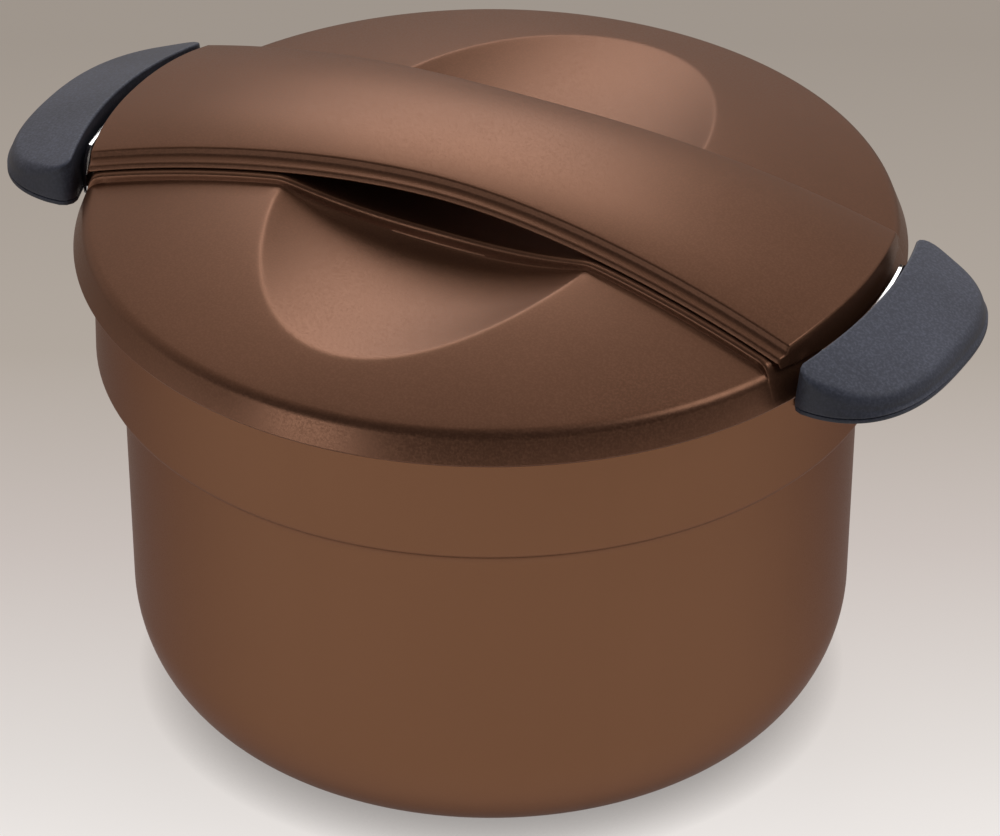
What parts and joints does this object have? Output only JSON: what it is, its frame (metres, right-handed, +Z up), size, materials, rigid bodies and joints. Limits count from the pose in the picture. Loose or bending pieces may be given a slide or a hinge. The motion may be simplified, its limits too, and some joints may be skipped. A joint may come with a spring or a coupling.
{
  "type": "thermal cooker",
  "caption": "Vacuum-walled thermal cooking container with wing handles, an insulated lid with a bridge handle, and a cooking pot with a glass lid inside.",
  "frame": {"origin": "on the floor, under the middle of the container", "axes": "+Z up; the carrying handles and the lid's bridge lie along X; -Y is the front that the picture shows"},
  "size_m": [0.3484, 0.28, 0.2126],
  "materials": {
    "brown_paint": "satin brown enamel",
    "brown_plastic": "satin",
    "dark_plastic": "fine matt grain",
    "black_phenolic": "satin",
    "liner_plastic": "satin",
    "brushed_steel": "brushed",
    "bright_steel": "bright",
    "aluminium": "satin",
    "copper_foil": "bright",
    "foam": "matt",
    "rubber": "matt",
    "silicone": "matt",
    "tempered_glass": "clear"
  },
  "bodies": {
    "container": {"outer_shell": "brown_paint", "inner_wall": "brushed_steel", "foil_wrap": "copper_foil", "seal_plug": "brushed_steel", "base_cover": "dark_plastic", "foot_ring": "rubber", "handle_bracket_left": "bright_steel", "handle_grip_left": "dark_plastic", "handle_under_cover_left": "dark_plastic", "handle_screw_left_a": "brushed_steel", "handle_screw_left_b": "brushed_steel", "handle_bracket_right": "bright_steel", "handle_grip_right": "dark_plastic", "handle_under_cover_right": "dark_plastic", "handle_screw_right_a": "brushed_steel", "handle_screw_right_b": "brushed_steel"},
    "cooking_pot": {"pot_body": "brushed_steel", "pot_base_core": "aluminium", "pot_base_cap": "brushed_steel", "pot_handle_plate_left": "brushed_steel", "pot_handle_left": "black_phenolic", "pot_handle_screw_left": "brushed_steel", "pot_handle_plate_right": "brushed_steel", "pot_handle_right": "black_phenolic", "pot_handle_screw_right": "brushed_steel"},
    "pot_lid": {"pot_lid_glass": "tempered_glass", "pot_lid_band": "brushed_steel", "pot_lid_knob": "black_phenolic", "knob_ferrule": "brushed_steel", "knob_washer": "silicone", "knob_screw": "brushed_steel", "steam_vent": "silicone"},
    "outer_lid": {"lid_cover": "brown_plastic", "lid_bridge": "brown_plastic", "lid_liner": "liner_plastic", "insulation_ring": "foam", "lid_screw_a": "brushed_steel", "lid_screw_b": "brushed_steel", "lid_screw_c": "brushed_steel", "lid_screw_d": "brushed_steel"}
  },
  "joints": [
    {"name": "pot_lift", "type": "slide", "parent": "container", "child": "cooking_pot", "axis": [0, 0, 1], "range_m": [0, 0.17]},
    {"name": "pot_lid_lift", "type": "slide", "parent": "cooking_pot", "child": "pot_lid", "axis": [0, 0, 1], "range_m": [0, 0.06]},
    {"name": "outer_lid_lift", "type": "slide", "parent": "pot_lid", "child": "outer_lid", "axis": [0, 0, 1], "range_m": [0, 0.08]}
  ]
}
